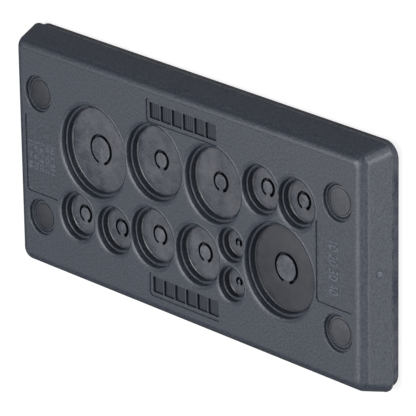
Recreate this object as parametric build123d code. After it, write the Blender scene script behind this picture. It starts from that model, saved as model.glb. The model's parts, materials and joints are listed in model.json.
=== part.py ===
from build123d import *
import os

# A cable entry plate for a connector cut-out of 86 x 36 mm in a panel or cabinet wall. A rigid
# frame has twelve stepped holes for cables and four counterbored ones for screws. One soft
# moulding is bonded into it from behind: a sheet that closes each cable hole with a membrane to
# be torn out, linings that close the screw holes, and the seal that lies against the panel.
# The plate lies on its seal: X runs along its length, Y across it, and Z out of its front face.
# The origin is the middle of the sealing face. All sizes are in millimetres.

# Cut-out in the panel that the plate covers
cutout_length = 86.0
cutout_width = 36.0
half_length = cutout_length / 2
half_width = cutout_width / 2

# Fixing screws of size M4. They lie outside the ends of the cut-out and inside its long sides.
screw_end_offset = 8.5
screw_side_inset = 2.0
screw_hole_radius = 2.3
screw_lining_wall = 0.6
screw_skin_thickness = 0.7
screw_skin_rise = 0.15
screw_recess_radius = 4.65
screw_seat_depth = 1.35

# Rigid frame. Its rear edge runs past the screws by a margin, and its walls lean in to the front.
end_margin = 10.15
side_margin = 14.45
frame_depth = 7.4
frame_corner_radius = 2.9
end_draft_deg = 17.0
side_draft_deg = 14.0
front_edge_round = 2.7
front_wall = 3.0

# Cable holes: the radius of each size of hole at the front face, the radius of the tear-out ring
# in its membrane, and where the holes of that size lie
large_radius = 11.4
large_ring_radius = 3.9
large_places = [
    (-half_length + 11.3, half_width - 11.9),
    (half_length - 10.8, -half_width + 11.8),
]
medium_radius = 9.4
medium_ring_radius = 2.6
medium_places = [(-10.2, half_width - 8.9), (10.3, half_width - 8.9)]
middle_radius = 7.35
middle_ring_radius = 2.55
middle_places = [(-11.2, -half_width + 7.8), (4.6, -half_width + 7.8)]
small_radius = 5.85
small_ring_radius = 2.35
small_places = [
    (-half_length + 4.9, -half_width + 5.8),
    (-half_length + 18.1, -half_width + 5.8),
    (half_length - 16.85, half_width - 6.0),
    (half_length - 4.9, half_width - 6.0),
]
tiny_radius = 4.1
tiny_ring_radius = 1.15
tiny_places = [(16.05, -half_width + 13.5), (16.05, -half_width + 3.7)]

# Section of a cable hole through the front wall
lip_chamfer = 0.4
step_depth = 1.65
step_width = 0.4
ring_groove_width = 0.65
ring_groove_depth = 0.65
ring_gap_deg = 32.0

# Soft moulding: the sheet with the membranes, the wall round the cavity behind it, and the mat
# on the frame's rear, which has a raised sealing land along its edge
membrane_thickness = 1.1
cavity_clearance = 0.5
cavity_wall = 1.5
cavity_corner_radius = 2.5
mat_thickness = 2.6
mat_inset = 0.25
mat_corner_radius = 4.0
seal_land_width = 3.4
mat_hollow_depth = 0.9

# Shallow pockets in the front face, set in from the frame's rear edge: a plain one at each end,
# and one above and one below with a ribbed window sunk in it
end_pocket_margin = 5.1
end_pocket_width = 12.0
end_pocket_height = 20.1
end_pocket_radius = 1.0
side_pocket_margin = 5.35
side_pocket_length = 24.8
side_pocket_height = 6.0
side_pocket_radius = 1.0
pocket_depth = 0.35
window_margin = 1.0
window_depth = 0.6
rib_count = 5
rib_width = 0.35

# How far a cutter runs past the face that it opens
overrun = 1.0

screw_spacing_x = cutout_length + 2 * screw_end_offset
screw_spacing_y = cutout_width - 2 * screw_side_inset
lining_radius = screw_hole_radius + screw_lining_wall
frame_length = screw_spacing_x + 2 * end_margin
frame_width = screw_spacing_y + 2 * side_margin
cavity_length = cutout_length + 2 * cavity_clearance
cavity_width = cutout_width + 2 * cavity_clearance
front_z = mat_thickness + frame_depth
membrane_z = front_z - front_wall

cable_holes = []
for hole_radius, ring_radius, places in (
    (large_radius, large_ring_radius, large_places),
    (medium_radius, medium_ring_radius, medium_places),
    (middle_radius, middle_ring_radius, middle_places),
    (small_radius, small_ring_radius, small_places),
    (tiny_radius, tiny_ring_radius, tiny_places),
):
    for place in places:
        cable_holes.append((place, hole_radius, ring_radius))

screw_places = [
    (side_x * screw_spacing_x / 2, side_y * screw_spacing_y / 2)
    for side_x in (-1, 1)
    for side_y in (-1, 1)
]


def prism(length, width, corner_radius, low_z, high_z, place=(0, 0)):
    """An upright block with rounded corners, between two heights."""
    base = Pos(place[0], place[1], low_z) * RectangleRounded(length, width, corner_radius)
    return extrude(base, high_z - low_z)


def rod(radius, low_z, high_z, place):
    """An upright round rod between two heights."""
    return Pos(place[0], place[1], low_z) * extrude(Circle(radius), high_z - low_z)


def turned(points, place, sweep_deg=360.0, start_deg=0.0):
    """A closed outline of radii and heights, turned about the upright axis at a place."""
    outline = make_face(Polyline([(radius, 0, z) for radius, z in points], close=True))
    solid = revolve(outline, Axis.Z, sweep_deg)
    return Pos(place[0], place[1], 0) * Rot(0, 0, start_deg) * solid


def drafted_body():
    """The frame's outside: four leaning walls, round corners and a rounded front edge."""
    rear = Plane((0, 0, mat_thickness))
    body = extrude(rear * Rectangle(frame_length, frame_width), frame_depth)
    body = draft(body.faces().filter_by(Axis.X), rear, end_draft_deg)
    body = draft(body.faces().filter_by(Axis.Y), rear, side_draft_deg)
    corners = body.edges().group_by(Axis.Z)[1]
    body = fillet(corners, frame_corner_radius)
    return fillet(body.edges().group_by(Axis.Z)[-1], front_edge_round)


def cable_hole(place, hole_radius):
    """Cutter for a stepped hole through the front wall, with a chamfered lip."""
    bore = hole_radius - lip_chamfer
    throat = bore - step_width
    points = [
        (0, membrane_z - overrun),
        (throat, membrane_z - overrun),
        (throat, front_z - step_depth),
        (bore, front_z - step_depth),
        (bore, front_z - lip_chamfer),
        (hole_radius, front_z),
        (hole_radius, front_z + overrun),
        (0, front_z + overrun),
    ]
    return turned(points, place)


def end_pocket(side):
    """Cutter for the plain pocket at one end."""
    centre_x = side * (frame_length / 2 - end_pocket_margin - end_pocket_width / 2)
    return prism(
        end_pocket_width, end_pocket_height, end_pocket_radius,
        front_z - pocket_depth, front_z + overrun, (centre_x, 0),
    )


def ribbed_pocket(side):
    """Cutters for a pocket with a sunken window that is crossed by ribs."""
    centre_y = side * (frame_width / 2 - side_pocket_margin - side_pocket_height / 2)
    floor_z = front_z - pocket_depth
    window_length = side_pocket_length - 2 * window_margin
    window_height = side_pocket_height - 2 * window_margin
    cell_length = (window_length - rib_count * rib_width) / (rib_count + 1)
    cutters = [
        prism(
            side_pocket_length, side_pocket_height, side_pocket_radius,
            floor_z, front_z + overrun, (0, centre_y),
        )
    ]
    for cell in range(rib_count + 1):
        x = (cell - rib_count / 2) * (cell_length + rib_width)
        place = Pos(x, centre_y, floor_z - window_depth / 2)
        cutters.append(place * Box(cell_length, window_height, window_depth))
    return cutters


def make_frame():
    rear_z = mat_thickness - overrun
    cutters = ribbed_pocket(1) + ribbed_pocket(-1) + [end_pocket(1), end_pocket(-1)]
    for place, hole_radius, ring_radius in cable_holes:
        cutters.append(cable_hole(place, hole_radius))
    for place in screw_places:
        seat_z = front_z - screw_seat_depth
        cutters.append(rod(screw_recess_radius, seat_z, front_z + overrun, place))
        cutters.append(rod(lining_radius, rear_z, front_z, place))
    cavity = prism(
        cavity_length + 2 * cavity_wall, cavity_width + 2 * cavity_wall,
        cavity_corner_radius + cavity_wall, rear_z, membrane_z,
    )
    return drafted_body() - cavity - cutters


def tear_ring(place, ring_radius):
    """Cutter for the open ring in a membrane, a notch that leaves a tab on its -Y side."""
    points = [
        (ring_radius, membrane_z - ring_groove_depth),
        (ring_radius, membrane_z + overrun),
        (ring_radius - ring_groove_width, membrane_z + overrun),
        (ring_radius - ring_groove_width, membrane_z),
    ]
    return turned(points, place, 360.0 - ring_gap_deg, -90.0 + ring_gap_deg / 2)


def make_mat():
    """The rear mat, with its sealing land and the shallow hollow inside the land."""
    length = frame_length - 2 * mat_inset
    width = frame_width - 2 * mat_inset
    hollow = prism(
        length - 2 * seal_land_width, width - 2 * seal_land_width,
        mat_corner_radius - seal_land_width, -overrun, mat_hollow_depth,
    )
    return prism(length, width, mat_corner_radius, 0, mat_thickness) - hollow


def make_soft_moulding():
    added = [
        prism(
            cavity_length + 2 * cavity_wall, cavity_width + 2 * cavity_wall,
            cavity_corner_radius + cavity_wall, mat_hollow_depth, membrane_z,
        )
    ]
    cutters = [
        prism(
            cavity_length, cavity_width, cavity_corner_radius,
            -overrun, membrane_z - membrane_thickness,
        )
    ]
    for place, hole_radius, ring_radius in cable_holes:
        cutters.append(tear_ring(place, ring_radius))
    skin_z = front_z - screw_seat_depth + screw_skin_rise
    for place in screw_places:
        added.append(rod(lining_radius, mat_hollow_depth, skin_z, place))
        cutters.append(rod(screw_hole_radius, -overrun, skin_z - screw_skin_thickness, place))
    return make_mat() + added - cutters


os.makedirs("parts", exist_ok=True)
for name, make in (("frame", make_frame), ("membrane_seal", make_soft_moulding)):
    solid = make()
    solid.label = name
    export_step(solid, f"parts/{name}.step")
    print(name, len(solid.solids()), "solid", round(solid.volume, 1), "mm3")
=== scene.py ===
import json
import math

import bmesh
import bpy
from mathutils import Matrix, Vector

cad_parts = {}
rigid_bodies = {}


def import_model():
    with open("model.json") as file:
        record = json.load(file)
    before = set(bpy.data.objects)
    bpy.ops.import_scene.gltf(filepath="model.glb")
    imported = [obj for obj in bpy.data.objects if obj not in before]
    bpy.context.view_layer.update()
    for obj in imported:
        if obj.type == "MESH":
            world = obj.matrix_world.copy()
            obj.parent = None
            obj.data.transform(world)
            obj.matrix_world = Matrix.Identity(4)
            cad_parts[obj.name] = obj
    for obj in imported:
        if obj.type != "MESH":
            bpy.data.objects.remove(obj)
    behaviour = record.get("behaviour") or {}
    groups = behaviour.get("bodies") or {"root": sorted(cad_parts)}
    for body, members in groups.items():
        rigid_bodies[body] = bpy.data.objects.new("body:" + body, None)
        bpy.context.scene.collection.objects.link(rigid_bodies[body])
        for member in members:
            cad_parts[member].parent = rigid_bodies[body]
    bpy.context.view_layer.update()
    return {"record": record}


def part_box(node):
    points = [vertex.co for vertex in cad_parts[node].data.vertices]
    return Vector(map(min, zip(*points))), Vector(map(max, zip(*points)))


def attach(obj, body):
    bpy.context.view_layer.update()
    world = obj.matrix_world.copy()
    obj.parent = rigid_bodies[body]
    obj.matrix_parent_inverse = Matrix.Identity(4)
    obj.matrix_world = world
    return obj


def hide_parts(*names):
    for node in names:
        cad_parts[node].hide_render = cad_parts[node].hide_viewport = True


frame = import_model()

# The rigid frame is one moulding in glass filled plastic, dark slate grey with a fine satin grain.
# Its walls lean in for the mould, its front panel stands a hair above the rounded edge, and a low
# collar surrounds each of the twelve stepped cable holes. All lengths are in millimetres.
MM = 0.001
frame_low, frame_high = (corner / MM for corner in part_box("frame"))
frame_length = frame_high.x - frame_low.x
frame_width = frame_high.y - frame_low.y
rear_z = frame_low.z
front_z = frame_high.z
end_draft_deg = 17.0
side_draft_deg = 14.0
end_lean = math.tan(math.radians(end_draft_deg))
side_lean = math.tan(math.radians(side_draft_deg))
corner_offset = 2.7
front_round_offset = 2.05
frame_edge_steps = 14
panel_step = 0.08
panel_border = 0.03

# How many sides a round body has, and how far a cutter runs past the face that it opens
round_steps = 96
overrun = 1.0


def arc(centre, radius, from_deg, to_deg, steps=6):
    """Points of an outline along a round stretch, from one bearing to another."""
    bearings = [math.radians(from_deg + (to_deg - from_deg) * i / steps) for i in range(steps + 1)]
    return [(centre[0] + radius * math.cos(b), centre[1] + radius * math.sin(b)) for b in bearings]


def spun(outline, place, sweep_deg=360.0, start_deg=0.0, steps=round_steps):
    """A bmesh made by turning an outline of radii and heights about the upright axis."""
    bm = bmesh.new()
    verts = [bm.verts.new((radius, 0, z)) for radius, z in outline]
    full = sweep_deg == 360.0
    ends = zip(verts, verts[1:] if full else verts[1:] + verts[:1])
    edges = [bm.edges.new(pair) for pair in ends]
    bmesh.ops.spin(
        bm, geom=verts + edges, axis=(0, 0, 1), cent=(0, 0, 0),
        angle=math.radians(sweep_deg), steps=steps, use_merge=full,
    )
    bmesh.ops.remove_doubles(bm, verts=bm.verts, dist=0.0001)
    bmesh.ops.holes_fill(bm, edges=bm.edges, sides=0)
    bmesh.ops.recalc_face_normals(bm, faces=bm.faces)
    start = Matrix.Rotation(math.radians(start_deg), 3, "Z")
    bmesh.ops.rotate(bm, verts=bm.verts, cent=(0, 0, 0), matrix=start)
    bmesh.ops.translate(bm, verts=bm.verts, vec=(place[0], place[1], 0))
    return bm


def round_edges(bm, edges, offset, steps):
    """Rounds the given edges of a body."""
    bmesh.ops.bevel(
        bm, geom=edges, offset=offset, segments=steps, profile=0.5, affect="EDGES", material=-1,
    )


def standing_edges(bm):
    """The edges of a body that run from one level to another."""
    return [e for e in bm.edges if abs(e.verts[0].co.z - e.verts[1].co.z) > 0.01]


def level_edges(bm, height):
    """The edges of a body that lie at one height."""
    return [e for e in bm.edges if all(abs(v.co.z - height) < 0.001 for v in e.verts)]


def rounded_block(length, width, corner, low_z, high_z, place=(0, 0), steps=10):
    """An upright block whose four standing edges are rounded."""
    bm = bmesh.new()
    bmesh.ops.create_cube(bm, size=1)
    bmesh.ops.scale(bm, verts=bm.verts, vec=(length, width, high_z - low_z))
    bmesh.ops.translate(bm, verts=bm.verts, vec=(place[0], place[1], (low_z + high_z) / 2))
    if corner:
        round_edges(bm, standing_edges(bm), corner, steps)
    return bm


def shaped(base, added, cutters):
    """The base with some bodies fused to it and others cut from it, as one mesh."""
    made = []
    groups = {}
    for kind, bodies in (("BASE", [base]), ("UNION", added), ("DIFFERENCE", cutters)):
        groups[kind] = bpy.data.collections.new(kind)
        bpy.context.scene.collection.children.link(groups[kind])
        for bm in bodies:
            mesh = bpy.data.meshes.new(kind)
            bm.to_mesh(mesh)
            bm.free()
            made.append(bpy.data.objects.new(kind, mesh))
            groups[kind].objects.link(made[-1])
    for kind in ("UNION", "DIFFERENCE"):
        if groups[kind].objects:
            step = made[0].modifiers.new(kind, "BOOLEAN")
            step.operation = kind
            step.solver = "EXACT"
            step.operand_type = "COLLECTION"
            step.collection = groups[kind]
    bpy.context.view_layer.update()
    evaluated = made[0].evaluated_get(bpy.context.evaluated_depsgraph_get())
    result = bpy.data.meshes.new_from_object(evaluated)
    for obj in made:
        bpy.data.objects.remove(obj)
    for group in groups.values():
        bpy.data.collections.remove(group)
    return result


def drafted_body():
    """The frame's outside: leaning walls, round corners, a rounded front edge and the panel."""
    body_top = front_z - panel_step
    bm = rounded_block(1, 1, 0, rear_z, body_top)
    for vert in bm.verts:
        rise = vert.co.z - rear_z
        vert.co.x *= frame_length - 2 * rise * end_lean
        vert.co.y *= frame_width - 2 * rise * side_lean
    round_edges(bm, standing_edges(bm), corner_offset, frame_edge_steps)
    round_edges(bm, level_edges(bm, body_top), front_round_offset, frame_edge_steps)
    panel = max((f for f in bm.faces if f.normal.z > 0.99), key=lambda f: f.calc_area())
    bmesh.ops.inset_region(bm, faces=[panel], thickness=panel_border, depth=panel_step)
    return bm


# The screws lie outside the ends of the panel's cut-out and inside its long sides, and the cable
# holes are placed from the cut-out's sides. A hole's size is its radius at the front.
screw_pattern = frame["record"]["mounts"][0]["dims"]
screw_x = screw_pattern["spacing_x_mm"] / 2
screw_y = screw_pattern["spacing_y_mm"] / 2
screw_places = [(side_x * screw_x, side_y * screw_y) for side_x in (-1, 1) for side_y in (-1, 1)]
screw_end_offset = 8.5
screw_side_inset = 2.0
half_length = screw_x - screw_end_offset
half_width = screw_y + screw_side_inset

large, medium, middle, small, tiny = 11.4, 9.4, 7.35, 5.85, 4.1
cable_holes = [
    ((-half_length + 11.3, half_width - 11.9), large),
    ((half_length - 10.8, -half_width + 11.8), large),
    ((-10.2, half_width - 8.9), medium),
    ((10.3, half_width - 8.9), medium),
    ((-11.2, -half_width + 7.8), middle),
    ((4.6, -half_width + 7.8), middle),
    ((-half_length + 4.9, -half_width + 5.8), small),
    ((-half_length + 18.1, -half_width + 5.8), small),
    ((half_length - 16.85, half_width - 6.0), small),
    ((half_length - 4.9, half_width - 6.0), small),
    ((16.05, -half_width + 13.5), tiny),
    ((16.05, -half_width + 3.7), tiny),
]

collar_width = 0.6
collar_slope = 0.4
collar_height = 0.06
collar_sinking = 1.5
collar_z = front_z + collar_height


def collar(place, radius):
    """The low raised ring round a cable hole. Its sloping side runs on a little into the panel."""
    bm = bmesh.new()
    depth = collar_sinking * collar_height
    top_radius = radius + collar_width
    bmesh.ops.create_cone(
        bm, cap_ends=True, segments=round_steps, depth=depth,
        radius1=top_radius + collar_sinking * collar_slope, radius2=top_radius,
    )
    bmesh.ops.translate(bm, verts=bm.verts, vec=(place[0], place[1], collar_z - depth / 2))
    return bm


collar_line_offset = 1.05
collar_line_reach = 0.1
collar_line_depth = 0.035
collar_line_clearance = 0.05


def collar_line(place, radius):
    """Cutter for the fine groove at a collar's foot, where two inserts of the mould met."""
    middle_radius = radius + collar_line_offset
    inner = middle_radius - collar_line_reach
    outer = middle_radius + collar_line_reach
    above_z = front_z + collar_line_clearance
    outline = [(inner, front_z), (middle_radius, front_z - collar_line_depth), (outer, front_z)]
    outline += [(outer, above_z), (inner, above_z), (inner, front_z)]
    return spun(outline, place)


bore_widening = 0.15
lip_depth = 0.33
lip_reach = 0.8
lip_radius = 0.12
ledge_depth = 1.12
ledge_inset = 0.42
ledge_width = 0.7
ledge_slope = 0.13
ledge_round = 0.08
throat_step = 0.02
wall_groove_depth = 0.3
wall_groove_top = 0.2
wall_groove_lean = 0.06
front_wall = 3.0
membrane_z = front_z - front_wall


def cable_hole(place, radius):
    """Cutter for a hole with a round lip, a groove at the wall's foot and a narrow ledge."""
    bore = radius + bore_widening
    lip_end = radius + lip_reach
    ledge_start = radius - ledge_inset
    ledge_end = radius - ledge_width
    throat = ledge_end - throat_step
    ledge_z = front_z - ledge_depth
    ledge_round_z = ledge_z - ledge_slope - ledge_round
    groove_z = ledge_z - wall_groove_depth
    outline = [(0, membrane_z - overrun), (throat, membrane_z - overrun), (throat, membrane_z)]
    outline += arc((ledge_end + ledge_round, ledge_round_z), ledge_round, 180, 116, steps=4)
    outline += [(ledge_start, ledge_z), (ledge_start + wall_groove_lean, groove_z)]
    outline += [(radius - wall_groove_lean, groove_z), (radius, ledge_z - wall_groove_top)]
    outline += arc((bore + lip_radius, collar_z - lip_depth), lip_radius, 180, 115, steps=5)
    outline += [(lip_end, collar_z), (lip_end, collar_z + overrun), (0, collar_z + overrun)]
    return spun(outline, place)


screw_seat_depth = 1.35
screw_lining_wall = 0.6
lining_radius = screw_pattern["hole_r_mm"] + screw_lining_wall
skin_radius = 3.75
skin_clearance = 0.05
recess_ledge_depth = 0.8
recess_ledge_start = 4.15
recess_radius = 4.5
recess_lip = 0.35


def screw_recess(place):
    """Cutter for the counterbore of a screw: a round lip, a ledge, a slope and the seat."""
    ledge_z = front_z - recess_ledge_depth
    seat_z = front_z - screw_seat_depth
    ledge_edge = (recess_ledge_start + ledge_round, ledge_z - ledge_round)
    lip_end = recess_radius + recess_lip
    outline = [(0, rear_z - overrun), (lining_radius, rear_z - overrun), (lining_radius, seat_z)]
    outline += [(skin_radius + skin_clearance, seat_z)]
    outline += arc(ledge_edge, ledge_round, 150, 90, steps=4)
    outline += [(recess_radius, ledge_z)]
    outline += arc((lip_end, front_z - recess_lip), recess_lip, 180, 90, steps=7)
    outline += [(lip_end, front_z + overrun), (0, front_z + overrun)]
    return spun(outline, place)


pocket_corner = 1.0
pocket_depth = 0.35
pocket_z = front_z - pocket_depth
end_pocket_margin = 5.1
end_pocket_width = 12.0
end_pocket_height = 20.1
end_pocket_x = frame_length / 2 - end_pocket_margin - end_pocket_width / 2
side_pocket_margin = 5.35
side_pocket_length = 24.8
side_pocket_height = 6.0
side_pocket_y = frame_width / 2 - side_pocket_margin - side_pocket_height / 2
window_margin = 1.0
window_corner = 0.15
window_corner_steps = 3
window_depth = 0.6
window_overlap = 0.1
window_length = side_pocket_length - 2 * window_margin
window_height = side_pocket_height - 2 * window_margin
rib_count = 5
rib_width = 0.35


def end_pocket(side):
    """Cutter for the plain pocket at one end."""
    return rounded_block(
        end_pocket_width, end_pocket_height, pocket_corner, pocket_z, front_z + overrun,
        (side * end_pocket_x, 0),
    )


def side_pocket(side):
    """Cutters for a pocket above or below the holes, with a ribbed window sunk in its floor."""
    centre_y = side * side_pocket_y
    cutters = [
        rounded_block(
            side_pocket_length, side_pocket_height, pocket_corner, pocket_z, front_z + overrun,
            (0, centre_y),
        )
    ]
    cell = (window_length - rib_count * rib_width) / (rib_count + 1)
    for i in range(rib_count + 1):
        x = (i - rib_count / 2) * (cell + rib_width)
        cutters.append(
            rounded_block(
                cell, window_height, window_corner, pocket_z - window_depth,
                pocket_z + window_overlap, (x, centre_y), steps=window_corner_steps,
            )
        )
    return cutters


gate_radius = 0.86
gate_height = 0.36
gate_depth = 4.3
gate_round = 0.28
gate_sides = 40


def gate_mark():
    """The small round stub that the moulding gate left on the right end, square to its wall."""
    bm = bmesh.new()
    stub_length = 4 * gate_height
    bmesh.ops.create_cone(
        bm, cap_ends=True, segments=gate_sides, radius1=gate_radius, radius2=gate_radius,
        depth=stub_length,
    )
    rim = [e for e in bm.edges if all(v.co.z > 0 for v in e.verts)]
    round_edges(bm, rim, gate_round, steps=6)
    tilt = math.radians(90) - math.atan(end_lean)
    gate_z = front_z - gate_depth
    wall_x = frame_length / 2 - (gate_z - rear_z) * end_lean
    outward = Vector((math.sin(tilt), 0, math.cos(tilt)))
    centre = Vector((wall_x, 0, gate_z)) - outward * (stub_length / 2 - gate_height)
    stand = Matrix.Translation(centre) @ Matrix.Rotation(tilt, 4, "Y")
    bmesh.ops.transform(bm, verts=bm.verts, matrix=stand)
    return bm


stroke_swell = 0.04


def raised_digits(words, size, narrow, place, relief):
    """Plain digits in relief on a pocket's floor, with their tops towards +X."""
    curve = bpy.data.curves.new("digits", "FONT")
    curve.body = words
    curve.size = size
    curve.align_x = "CENTER"
    curve.align_y = "CENTER"
    curve.extrude = relief / 2
    curve.bevel_depth = relief / 2
    curve.offset = stroke_swell
    curve.bevel_resolution = 1
    holder = bpy.data.objects.new("digits", curve)
    bpy.context.scene.collection.objects.link(holder)
    bpy.context.view_layer.update()
    evaluated = holder.evaluated_get(bpy.context.evaluated_depsgraph_get())
    mesh = bpy.data.meshes.new_from_object(evaluated)
    bpy.data.objects.remove(holder)
    mesh.transform(
        Matrix.Translation((place[0], place[1], pocket_z))
        @ Matrix.Rotation(math.radians(-90), 4, "Z")
        @ Matrix.Diagonal((narrow, 1, 1, 1))
    )
    return mesh


small_rows = ("12 34 56", "345 6 78", "5 67 890", "78 901 2", "90 1 234")
small_size = 2.15
small_narrow = 1.0
small_relief = 0.05
small_row_start = 4.7
small_row_pitch = 2.05
tall_row = "10 20 30 40"
tall_size = 4.3
tall_narrow = 0.66
tall_relief = 0.12
tall_shift = 0.6
digits_y = -0.3


def marks():
    """The generic relief in the end pockets: rows of plain sizes left, tall digits right."""
    meshes = []
    for column, row in enumerate(small_rows):
        x = -end_pocket_x - small_row_start + small_row_pitch * column
        meshes.append(raised_digits(row, small_size, small_narrow, (x, digits_y), small_relief))
    tall_place = (end_pocket_x - tall_shift, digits_y)
    meshes.append(raised_digits(tall_row, tall_size, tall_narrow, tall_place, tall_relief))
    return meshes


cavity_clearance = 0.5
cavity_wall = 1.5
cavity_corner = 2.5
cavity_length = 2 * (half_length + cavity_clearance)
cavity_width = 2 * (half_width + cavity_clearance)


def rear_cavity(low_z):
    """The space behind the membranes with the soft wall round it, up to the membranes' faces."""
    return rounded_block(
        cavity_length + 2 * cavity_wall, cavity_width + 2 * cavity_wall,
        cavity_corner + cavity_wall, low_z, membrane_z,
    )


added = [collar(place, radius) for place, radius in cable_holes]
added.append(gate_mark())
cutters = [cable_hole(place, radius) for place, radius in cable_holes]
cutters += [collar_line(place, radius) for place, radius in cable_holes]
cutters += [screw_recess(place) for place in screw_places]
cutters += side_pocket(1) + side_pocket(-1)
cutters += [end_pocket(-1), end_pocket(1)]
cutters.append(rear_cavity(rear_z - overrun))
frame_mesh = shaped(drafted_body(), added, cutters)

relief = bmesh.new()
relief.from_mesh(frame_mesh)
for digits in marks():
    relief.from_mesh(digits)
    bpy.data.meshes.remove(digits)
relief.to_mesh(frame_mesh)
relief.free()


def toned(mesh, tone_of):
    """Stores how light each face's colour is, from 0 to 1, by where its middle is; this includes
    painted light and shade.
    """
    tones = mesh.attributes.new("tone", "FLOAT", "FACE")
    tones.data.foreach_set("value", [tone_of(face.center) for face in mesh.polygons])


window_tone = 0.0
# The digits and the gate stub are painted lighter than the rest, as a painted highlight on raised
# relief.
digits_highlight_tone = 1.0
gate_stub_highlight_tone = 0.8
frame_base_tone = 0.4


def frame_tone(middle):
    """The windows' floors are darker than the rest, and the digits and the stub are lighter, as
    a painted highlight.

    A face belongs to one of them when its middle lies within a small margin of it. Three narrow
    faces along each long rounded edge, at the height of the windows' walls, are as dark.
    """
    in_window = (
        abs(middle.x) < window_length / 2 + 0.1
        and abs(middle.y) > side_pocket_y - window_height / 2 - 0.2
        and pocket_z - window_depth - 0.1 < middle.z < pocket_z - 0.1
    )
    if in_window:
        return window_tone
    on_digits = (
        abs(abs(middle.x) - end_pocket_x) < end_pocket_width / 2 - 0.1
        and abs(middle.y) < end_pocket_height / 2 - 0.15
        and pocket_z + 0.01 < middle.z < front_z - 0.05
    )
    if on_digits:
        return digits_highlight_tone
    wall_x = frame_length / 2 - (middle.z - rear_z) * end_lean
    on_gate_mark = middle.x > wall_x + 0.05 and rear_z + 1 < middle.z < front_z - 1
    return gate_stub_highlight_tone if on_gate_mark else frame_base_tone


class Wire:
    """A shader socket. Maths on it adds Math nodes, and node() adds any other node."""

    def __init__(self, tree, socket=None):
        self.tree = tree
        self.socket = socket

    def node(self, kind, settings=None, inputs=None, outlet=0):
        made = self.tree.nodes.new(kind)
        for name, value in (settings or {}).items():
            setattr(made, name, value)
        for name, value in (inputs or {}).items():
            if isinstance(value, Wire):
                self.tree.links.new(value.socket, made.inputs[name])
            else:
                made.inputs[name].default_value = value
        return Wire(self.tree, made.outputs[outlet] if made.outputs else None)

    def maths(self, operation, first, second):
        return self.node("ShaderNodeMath", {"operation": operation}, {0: first, 1: second})

    def __add__(self, other):
        return self.maths("ADD", self, other)

    def __radd__(self, other):
        return self.maths("ADD", other, self)

    def __sub__(self, other):
        return self.maths("SUBTRACT", self, other)

    def __rsub__(self, other):
        return self.maths("SUBTRACT", other, self)

    def __mul__(self, other):
        return self.maths("MULTIPLY", self, other)

    def __rmul__(self, other):
        return self.maths("MULTIPLY", other, self)


def new_material(name):
    """A material with no nodes yet, and a Wire to add them with."""
    material = bpy.data.materials.new(name)
    material.use_nodes = True
    material.node_tree.nodes.clear()
    return material, Wire(material.node_tree)


def noise(place, scale, detail, **settings):
    """A noise pattern at a place, with its scale in cells per metre."""
    inputs = {"Vector": place, "Scale": scale, "Detail": detail, **settings}
    return place.node("ShaderNodeTexNoise", None, inputs)


def stretched(value, low, high):
    """A value from 0 where it was low to 1 where it was high."""
    inputs = {"Value": value, "From Min": low, "From Max": high}
    return value.node("ShaderNodeMapRange", None, inputs)


def blended(share, first, second):
    """A colour between two others, by the share of the second."""
    share_socket, first_socket, second_socket, result_socket = 0, 6, 7, 2
    inputs = {share_socket: share, first_socket: first, second_socket: second}
    return share.node("ShaderNodeMix", {"data_type": "RGBA"}, inputs, result_socket)


def surfaced(wire, colour, roughness, height, strength, distance):
    """The shader of a plastic or rubber, with its colour, roughness and bump in metres."""
    bump = wire.node(
        "ShaderNodeBump", None, {"Strength": strength, "Distance": distance, "Height": height}
    )
    shader = wire.node(
        "ShaderNodeBsdfPrincipled", None,
        {"Base Color": colour, "Roughness": roughness, "IOR": 1.5, "Normal": bump},
    )
    wire.node("ShaderNodeOutputMaterial", None, {"Surface": shader})


def satin_plastic():
    """Dark slate moulding compound: a fine spark grain, faint clouds and a satin gloss."""
    dark_slate, light_slate = (0.040, 0.047, 0.062, 1), (0.115, 0.131, 0.170, 1)
    window_colour = (0.013, 0.018, 0.027, 1)
    material, wire = new_material("satin_plastic")
    place = wire.node("ShaderNodeTexCoord", outlet="Object")
    tone = wire.node("ShaderNodeAttribute", {"attribute_name": "tone"}, outlet="Fac")
    grain = noise(place, scale=2100.0, detail=4.0)
    clouds = noise(place, scale=90.0, detail=3.0)
    speckle = stretched(grain, low=0.4, high=0.6)
    stripes = wire.node(
        "ShaderNodeTexWave", {"wave_type": "BANDS", "bands_direction": "X"},
        {"Vector": place, "Scale": 450.0},
    )
    in_window = wire.maths("LESS_THAN", tone, 0.25)
    slate = blended(clouds * 0.25 + speckle * 0.75, dark_slate, light_slate)
    # The tone gives the windows' darker floors, and the painted highlight on the digits and the
    # gate stub.
    colour = blended(tone + stripes * in_window * 0.2, window_colour, slate)
    roughness = 0.38 + 0.08 * grain + 0.3 * in_window
    height = grain + stripes * in_window * 2.0
    surfaced(wire, colour, roughness, height, strength=0.7, distance=0.00006)
    return material


def dressed(mesh, name, material):
    """A finished piece: the mesh in metres, smooth but for its sharp edges, with its material."""
    mesh.name = name
    mesh.transform(Matrix.Scale(MM, 4))
    mesh.materials.clear()
    mesh.materials.append(material)
    mesh.polygons.foreach_set("use_smooth", [True] * len(mesh.polygons))
    sharp_from_deg = 16
    mesh.set_sharp_from_angle(angle=math.radians(sharp_from_deg))
    piece = bpy.data.objects.new(name, mesh)
    bpy.context.scene.collection.objects.link(piece)
    weights = piece.modifiers.new("flat faces stay flat", "WEIGHTED_NORMAL")
    weights.keep_sharp = True
    return piece


toned(frame_mesh, frame_tone)
frame_moulding = dressed(frame_mesh, "frame_moulding", satin_plastic())
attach(frame_moulding, "root")
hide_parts("frame")

# The soft moulding is one piece of dark grey elastomer, bonded into the frame from behind. It is
# the sheet with the twelve membranes, the skins over the screw holes, the wall round the rear
# cavity, and the mat with the sealing land that is pressed against the panel.
mat_low, mat_high = (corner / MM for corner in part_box("membrane_seal"))
mat_length = mat_high.x - mat_low.x
mat_width = mat_high.y - mat_low.y
mat_corner = 4.0
mat_edge_round = 0.35
mat_hollow_depth = 0.9
land_width = 3.4
sheet_thickness = 1.1

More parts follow.
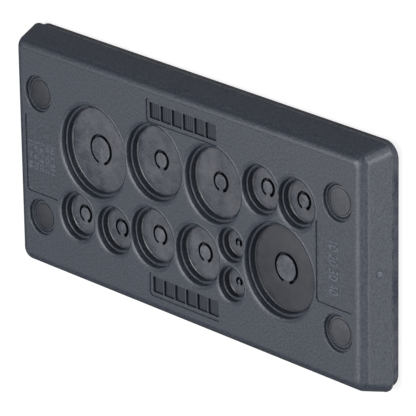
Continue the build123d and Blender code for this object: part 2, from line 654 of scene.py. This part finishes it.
# The tear ring and the crown of a membrane follow the size of its hole.
tear_radii = {large: 3.9, medium: 2.6, middle: 2.55, small: 2.35, tiny: 1.15}
ring_gap_deg = {large: 32.0, medium: 34.0, middle: 36.0, small: 40.0, tiny: 60.0}
crowns = {large: 0.35, medium: 0.2, middle: 0.2, small: 0.18, tiny: 0.15}
crest_margin = 0.7
crown_share = 0.9
edge_fillet = 0.2
edge_slope = 0.15
edge_slope_deg = 26
edge_rise = 0.2
groove_width = 0.72
groove_depth = 0.9
button_rise = 0.17
button_round = 0.08
button_clearance = 0.02
face_offset = 0.02
face_root = 0.5


def membrane(place, radius):
    """The face of one membrane: a fillet up the throat, and a low mound round its tear ring."""
    throat = radius - ledge_width - throat_step
    base_z = membrane_z + face_offset
    foot = throat - edge_slope - edge_fillet
    crest = tear_radii[radius] + crest_margin
    mound_start = crest + crown_share * (foot - crest)
    slope_rise = edge_slope * math.tan(math.radians(edge_slope_deg))
    fillet_z = base_z + edge_rise + slope_rise + edge_fillet
    outline = [(0, membrane_z - face_root), (throat, membrane_z - face_root)]
    outline += arc((throat - edge_fillet, fillet_z), edge_fillet, 0, -60)
    outline += [(foot, base_z + edge_rise)]
    steps = 10
    for i in range(steps + 1):
        share = i / steps
        swell = 0.5 - 0.5 * math.cos(math.pi * share)
        height = edge_rise + (crowns[radius] - edge_rise) * swell
        outline.append((mound_start + (crest - mound_start) * share, base_z + height))
    crown_z = base_z + crowns[radius]
    button_z = crown_z + button_rise
    button = tear_radii[radius] - groove_width - button_clearance
    outline += [(button, crown_z)]
    outline += arc((button - button_round, button_z - button_round), button_round, 0, 90)
    outline += [(0, button_z)]
    return spun(outline, place)


def tear_ring(place, radius):
    """Cutter for the open ring in a membrane, which leaves a tab on its -Y side."""
    outer = tear_radii[radius]
    inner = outer - groove_width
    bottom = groove_width / 2
    bottom_z = membrane_z + crowns[radius] - groove_depth + bottom
    outline = [(outer, membrane_z + overrun), (outer, bottom_z)]
    outline += arc((outer - bottom, bottom_z), bottom, 0, -180)[1:-1]
    outline += [(inner, bottom_z), (inner, membrane_z + overrun)]
    gap = ring_gap_deg[radius]
    return spun(outline, place, sweep_deg=360.0 - gap, start_deg=-90.0 + gap / 2, steps=72)


skin_edge = 0.12
skin_groove_depth = 0.16
skin_groove_offsets = (0.3, 0.38, 0.52, 0.62)
skin_dome_rise = 0.1
skin_thickness = 0.55
skin_seat_z = front_z - screw_seat_depth
skin_back_z = skin_seat_z - skin_thickness


def screw_skin(place):
    """The lining of a screw hole, with the skin that closes it: a rim, a groove and a dome."""
    rim_z = skin_seat_z + 2 * skin_edge
    groove_z = rim_z - skin_groove_depth
    rim_end, groove_start, groove_end, dome_start = (
        skin_radius - offset for offset in skin_groove_offsets
    )
    outline = [(0, mat_hollow_depth), (lining_radius, mat_hollow_depth)]
    outline += [(lining_radius, skin_seat_z)]
    edge_centre = (skin_radius - skin_edge, skin_seat_z + skin_edge)
    outline += arc(edge_centre, skin_edge, -90, 90, steps=12)
    outline += [(rim_end, rim_z), (groove_start, groove_z), (groove_end, groove_z)]
    outline += [(dome_start, rim_z)]
    steps = 6
    for i in range(1, steps + 1):
        inward = 1 - i / steps
        outline.append((dome_start * inward, rim_z + skin_dome_rise * (1 - inward ** 2)))
    return spun(outline, place, steps=72)


def screw_bore(place):
    """Cutter for the hole in a lining, from the panel side up to the skin."""
    radius = lining_radius - screw_lining_wall
    outline = [(0, -overrun), (radius, -overrun), (radius, skin_back_z), (0, skin_back_z)]
    return spun(outline, place, steps=64)


def mat_body():
    """The mat with its edges softly rounded and a shallow hollow inside its sealing land."""
    mat = rounded_block(mat_length, mat_width, mat_corner, 0, rear_z, steps=14)
    round_edges(mat, level_edges(mat, 0), mat_edge_round, steps=7)
    hollow = rounded_block(
        mat_length - 2 * land_width, mat_width - 2 * land_width, mat_corner - land_width,
        -overrun, mat_hollow_depth,
    )
    hollowed = shaped(mat, [], [hollow])
    bm = bmesh.new()
    bm.from_mesh(hollowed)
    bpy.data.meshes.remove(hollowed)
    return bm


flange_height = 0.45
flange_reach = 0.05
flange_corner = 2.9


def rear_flange():
    """The thin band of soft material that shows at the frame's rear edge."""
    return rounded_block(
        frame_length + 2 * flange_reach, frame_width + 2 * flange_reach, flange_corner,
        rear_z - flange_height, rear_z,
    )


added = [rear_cavity(mat_hollow_depth), rear_flange()]
added += [membrane(place, radius) for place, radius in cable_holes]
added += [screw_skin(place) for place in screw_places]
cutters = [
    rounded_block(
        cavity_length, cavity_width, cavity_corner, -overrun, membrane_z - sheet_thickness
    )
]
cutters += [tear_ring(place, radius) for place, radius in cable_holes]
cutters += [screw_bore(place) for place in screw_places]
soft_mesh = shaped(mat_body(), added, cutters)

# The band at the rear edge is painted lightest, as a painted highlight.
flange_highlight_tone = 1.0
mat_tone = 0.8
sheet_tone = 0.8
membrane_tone = 0.78
right_membrane_tone = 0.2
# The raised tabs are painted lightest, as a painted highlight.
tab_highlight_tone = 1.0
# The ring grooves are painted near black, as painted shade.
ring_groove_shade_tone = 0.0
left_skin_tone = 0.15
upper_right_skin_tone = 0.55
lower_right_skin_tone = 0.42
# A skin's rim is painted lighter, as a painted highlight.
skin_rim_highlight_lift = 0.35


def soft_tone(middle):
    """Tabs and the band at the rear edge are the lightest, as painted highlights, and ring
    grooves are near black, as painted shade.

    The screw skins and the large membrane on the right are darker than the other membranes. A
    face belongs to one of them when its middle lies within a small margin of it.
    """
    at_side = abs(middle.x) > frame_length / 2 - 0.1 or abs(middle.y) > frame_width / 2 - 0.1
    if at_side:
        return flange_highlight_tone
    if middle.z < membrane_z - 1:
        return mat_tone
    if middle.z > skin_back_z + 0.05:
        right_tone = upper_right_skin_tone if middle.y > 0 else lower_right_skin_tone
        skin_tone = left_skin_tone if middle.x < 0 else right_tone
        reach = math.hypot(abs(middle.x) - screw_x, abs(middle.y) - screw_y)
        return skin_tone + skin_rim_highlight_lift if reach > skin_radius - 0.4 else skin_tone
    for place, radius in cable_holes:
        reach = math.hypot(middle.x - place[0], middle.y - place[1])
        ring_radius = tear_radii[radius]
        if reach < ring_radius - groove_width - 0.01:
            return tab_highlight_tone
        if reach < ring_radius + 0.01 and middle.z < membrane_z + crowns[radius] - 0.02:
            return ring_groove_shade_tone
        if reach < radius:
            at_large_right = radius == large and place[0] > 0
            return right_membrane_tone if at_large_right else membrane_tone
    return sheet_tone


def soft_rubber():
    """Smooth dark elastomer, a little warmer than the frame, with blotches and flow marks."""
    dark_grey, light_grey = (0.045, 0.051, 0.067, 1), (0.112, 0.117, 0.139, 1)
    # The ring grooves' painted shade, and the dark end that every tone mixes from.
    groove_shade_colour = (0.006, 0.009, 0.016, 1)
    material, wire = new_material("soft_rubber")
    place = wire.node("ShaderNodeTexCoord", outlet="Object")
    tone = wire.node("ShaderNodeAttribute", {"attribute_name": "tone"}, outlet="Fac")
    clouds = noise(place, scale=130.0, detail=2.0)
    blotches = noise(place, scale=420.0, detail=5.0, Roughness=0.65, Distortion=0.6)
    fine = noise(place, scale=1800.0, detail=3.0)
    mottle = stretched(clouds * 0.3 + blotches * 0.4 + fine * 0.3, low=0.41, high=0.6)
    grey = blended(mottle, dark_grey, light_grey)
    # The tone gives the darker skins and right membrane, the painted highlights on the tabs, the
    # rear band and the skins' rims, and the painted shade in the ring grooves.
    colour = blended(tone, groove_shade_colour, grey)
    roughness = 0.24 + 0.12 * mottle + 0.15 * (1 - tone)
    surfaced(wire, colour, roughness, fine, strength=0.5, distance=0.00003)
    return material


toned(soft_mesh, soft_tone)
membrane_moulding = dressed(soft_mesh, "membrane_moulding", soft_rubber())
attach(membrane_moulding, "root")
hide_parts("membrane_seal")

# The studio is a pale floor that the plate lies on, a weak even light from all round, and nine
# soft rectangular lamps that face the plate. The camera sees floor and surroundings near white,
# with the plate's shadow on the floor. The studio's lengths are in metres.
floor_half_side = 3.0
floor_bm = bmesh.new()
bmesh.ops.create_grid(floor_bm, x_segments=1, y_segments=1, size=floor_half_side)
floor_mesh = bpy.data.meshes.new("floor")
floor_bm.to_mesh(floor_mesh)
floor_bm.free()
floor = bpy.data.objects.new("floor", floor_mesh)
bpy.context.scene.collection.objects.link(floor)
floor_material, wire = new_material("pale_floor")
ray = wire.node("ShaderNodeLightPath", outlet="Is Camera Ray")
paint = wire.node("ShaderNodeBsdfDiffuse", None, {"Color": (0.2, 0.2, 0.2, 1)})
glow = wire.node("ShaderNodeEmission", None, {"Color": (1, 1, 1, 1), "Strength": 0.84 * ray})
surface = wire.node("ShaderNodeAddShader", None, {0: paint, 1: glow})
wire.node("ShaderNodeOutputMaterial", None, {"Surface": surface})
floor_mesh.materials.append(floor_material)

world = bpy.data.worlds.new("studio")
bpy.context.scene.world = world
world.use_nodes = True
world.node_tree.nodes.clear()
wire = Wire(world.node_tree)
ray = wire.node("ShaderNodeLightPath", outlet="Is Camera Ray")
strength = 0.03 + 0.97 * ray
sky = wire.node("ShaderNodeBackground", None, {"Color": (1, 1, 1, 1), "Strength": strength})
wire.node("ShaderNodeOutputWorld", None, {"Surface": sky})

lamp_width = 0.4
for name, direction, watts, lamp_height in (
    ("overhead_lamp", (-0.1, 0.1, 0.99), 4.2, 0.4),
    ("left_overhead_lamp", (-0.41, 0, 0.91), 3.8, 0.4),
    ("lower_overhead_lamp", (-0.1, -0.37, 0.92), 2.4, 0.4),
    ("left_lamp", (-0.6, -0.33, 0.73), 0.42, 0.4),
    ("upper_right_lamp", (0.81, 0.47, 0.36), 1.0, 0.4),
    ("right_lamp", (0.66, -0.34, 0.67), 1.1, 0.4),
    ("low_right_lamp", (0.97, 0.26, 0.026), 4.5, 0.05),
    ("low_lower_right_lamp", (0.97, -0.26, 0.026), 2.4, 0.05),
    ("low_upper_lamp", (0.6, 0.78, 0.15), 2.4, 0.2),
):
    lamp = bpy.data.lights.new(name, "AREA")
    lamp.shape = "RECTANGLE"
    lamp.size = lamp_width
    lamp.size_y = lamp_height
    lamp.energy = watts
    holder = bpy.data.objects.new(name, lamp)
    bpy.context.scene.collection.objects.link(holder)
    aim = Vector(direction).normalized()
    facing = aim.to_track_quat("Z", "Y").to_matrix().to_4x4()
    holder.matrix_world = Matrix.Translation(aim) @ facing

# The camera looks at the front from its upper right, at the photograph's own angle. Its place and
# its focal length, in pixels, are those that fit the plate's corners and holes in the photograph.
azimuth, elevation, roll = (math.radians(a) for a in (47.366, 21.300, -0.939))
focal_pixels = 4178.0
image_pixels = 416
camera_distance = 981.6
right_of_centre = 5.876
above_centre = 0.499
toward = Vector((
    math.sin(azimuth) * math.cos(elevation), math.sin(elevation),
    math.cos(azimuth) * math.cos(elevation),
))
level_right = (-toward).cross(Vector((0, 1, 0))).normalized()
level_up = level_right.cross(-toward)
right = math.cos(roll) * level_right + math.sin(roll) * level_up
up = math.cos(roll) * level_up - math.sin(roll) * level_right
aimed_at = Vector((0, 0, front_z)) + right_of_centre * right + above_centre * up
camera_data = bpy.data.cameras.new("camera")
camera_data.sensor_width = 36.0
camera_data.lens = focal_pixels * camera_data.sensor_width / image_pixels
camera_data.clip_start = 0.01
camera_data.clip_end = 100.0
camera = bpy.data.objects.new("camera", camera_data)
bpy.context.scene.collection.objects.link(camera)
turn = Matrix((right, up, toward)).transposed().to_4x4()
camera.matrix_world = Matrix.Translation((aimed_at + camera_distance * toward) * MM) @ turn
bpy.context.scene.camera = camera

bpy.context.scene.view_settings.view_transform = "Standard"
